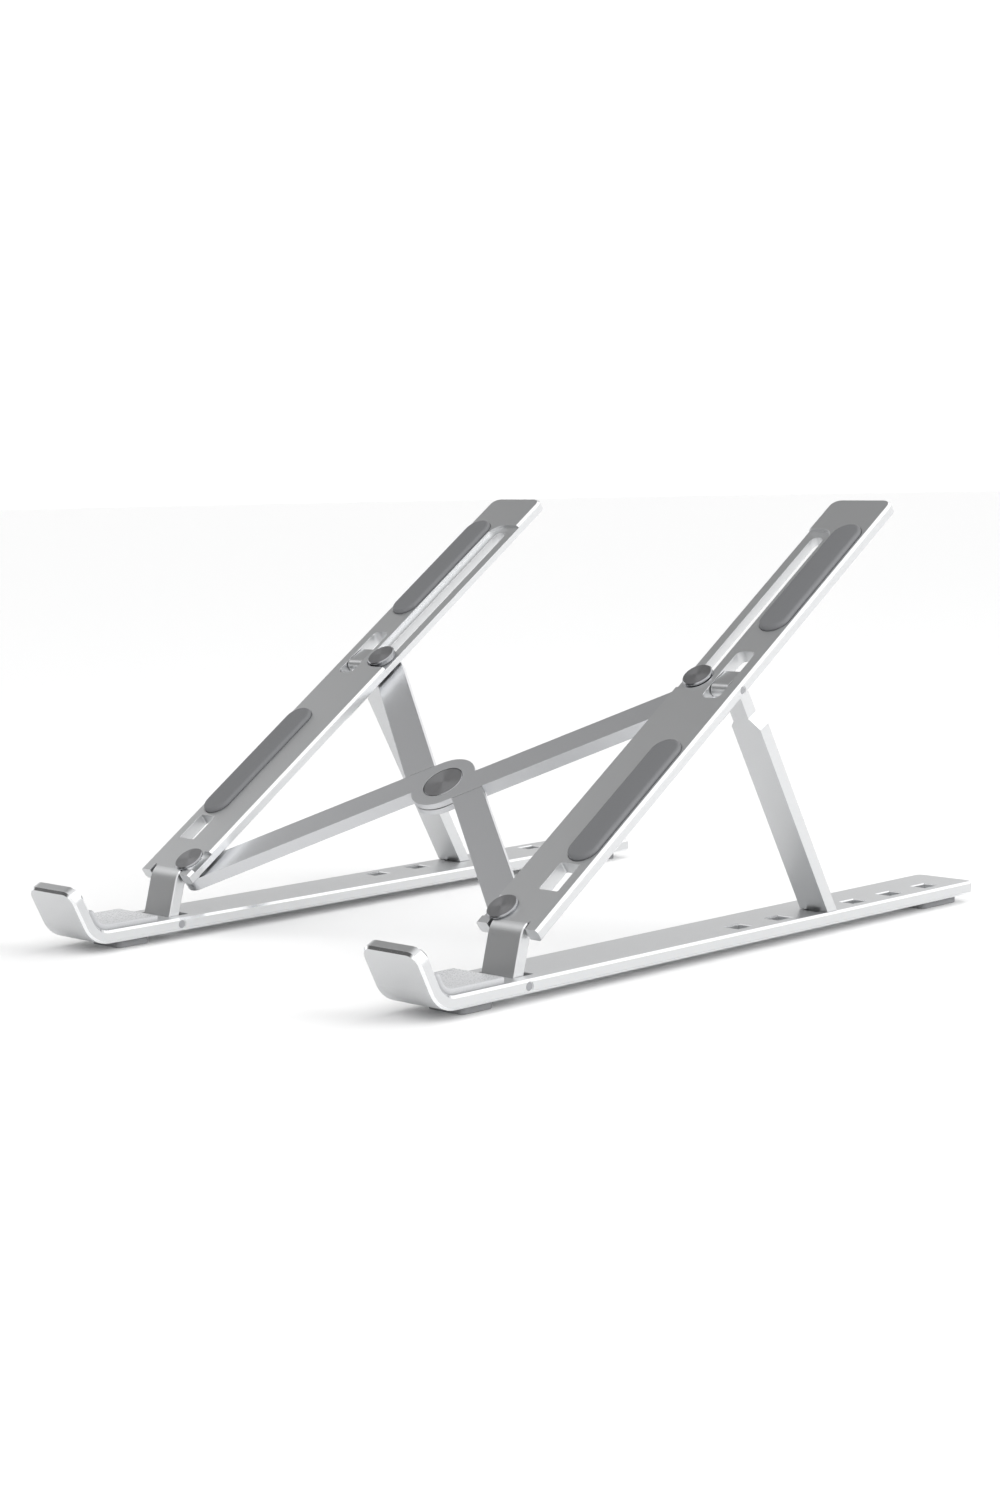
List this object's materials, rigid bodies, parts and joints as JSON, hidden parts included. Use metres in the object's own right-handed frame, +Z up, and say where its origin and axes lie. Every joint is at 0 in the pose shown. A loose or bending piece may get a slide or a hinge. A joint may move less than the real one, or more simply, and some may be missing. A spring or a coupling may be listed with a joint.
{
  "type": "laptop stand",
  "caption": "Folding scissor stand for a laptop: two hooked side frames with leaning top bars and support legs, joined by crossed arms that pivot on a hub",
  "frame": {"origin": "on the desk plane under the middle of the stand's box, midway between the two side frames", "axes": "+X to the stand's right seen from the front, +Y from the hooks to the rear along the base bars, +Z up"},
  "size_m": [0.169, 0.2477, 0.1289],
  "materials": {
    "anodised_aluminium": "bead-blasted, clear anodised, diamond-cut edges",
    "arm_aluminium": "bead-blasted, clear anodised",
    "disc_steel": "turned face, polished rim",
    "pin_steel": "ground",
    "washer_steel": "rolled",
    "pad_silicone": "matt moulded silicone",
    "hook_silicone": "satin moulded silicone",
    "foot_rubber": "matt rubber"
  },
  "bodies": {
    "left_base": {"left_base_bar": "anodised_aluminium", "left_hook_pad": "hook_silicone", "left_front_foot": "foot_rubber", "left_rear_foot": "foot_rubber", "left_hinge_pin": "pin_steel"},
    "left_platform": {"left_top_bar": "anodised_aluminium", "left_lower_pad": "pad_silicone", "left_upper_pad": "pad_silicone", "left_pivot_rivet": "disc_steel", "left_pivot_washer": "washer_steel", "left_leg_pin": "pin_steel"},
    "left_leg": {"left_support_leg": "anodised_aluminium"},
    "right_base": {"right_base_bar": "anodised_aluminium", "right_hook_pad": "hook_silicone", "right_front_foot": "foot_rubber", "right_rear_foot": "foot_rubber", "right_hinge_pin": "pin_steel"},
    "right_platform": {"right_top_bar": "anodised_aluminium", "right_lower_pad": "pad_silicone", "right_upper_pad": "pad_silicone", "right_pivot_rivet": "disc_steel", "right_pivot_washer": "washer_steel", "right_leg_pin": "pin_steel"},
    "right_leg": {"right_support_leg": "anodised_aluminium"},
    "upper_arm": {"upper_arm": "arm_aluminium", "hub_rivet": "disc_steel", "hub_washer": "washer_steel", "hub_cap": "disc_steel", "right_slide_pin": "disc_steel", "right_slide_washer": "washer_steel"},
    "lower_arm": {"lower_arm": "arm_aluminium", "left_slide_pin": "disc_steel", "left_slide_washer": "washer_steel"}
  },
  "joints": [
    {"name": "left_base_hinge", "type": "hinge", "parent": "left_base", "child": "left_platform", "pos_m": [-0.073, -0.082, 0.0048], "axis": [1, 0, 0], "range_deg": [0, 15]},
    {"name": "left_leg_hinge", "type": "hinge", "parent": "left_platform", "child": "left_leg", "pos_m": [-0.073, 0.00735, 0.07695], "axis": [1, 0, 0], "range_deg": [-80, 60]},
    {"name": "left_arm_pivot", "type": "hinge", "parent": "left_platform", "child": "upper_arm", "pos_m": [-0.067, -0.07462, 0.02321], "axis": [0, -0.566, 0.8244], "range_deg": [0, 49.21]},
    {"name": "hub_pivot", "type": "hinge", "parent": "upper_arm", "child": "lower_arm", "pos_m": [0, -0.03324, 0.05162], "axis": [0, -0.566, 0.8244], "range_deg": [-98.42, 0]},
    {"name": "right_arm_pivot", "type": "hinge", "parent": "lower_arm", "child": "right_platform", "pos_m": [0.067, -0.07462, 0.02321], "axis": [0, -0.566, 0.8244], "range_deg": [0, 49.21]},
    {"name": "right_leg_hinge", "type": "hinge", "parent": "right_platform", "child": "right_leg", "pos_m": [0.073, 0.00735, 0.07695], "axis": [1, 0, 0], "range_deg": [-80, 60]},
    {"name": "right_base_hinge", "type": "hinge", "parent": "right_platform", "child": "right_base", "pos_m": [0.073, -0.082, 0.0048], "axis": [1, 0, 0], "range_deg": [-15, 0]}
  ],
  "couplings": [
    {"joint": "left_leg_hinge", "follows": "left_base_hinge", "ratio": -1.2},
    {"joint": "hub_pivot", "follows": "left_arm_pivot", "ratio": -2},
    {"joint": "right_arm_pivot", "follows": "left_arm_pivot", "ratio": 1},
    {"joint": "right_leg_hinge", "follows": "left_base_hinge", "ratio": -1.2},
    {"joint": "right_base_hinge", "follows": "left_base_hinge", "ratio": -1}
  ]
}
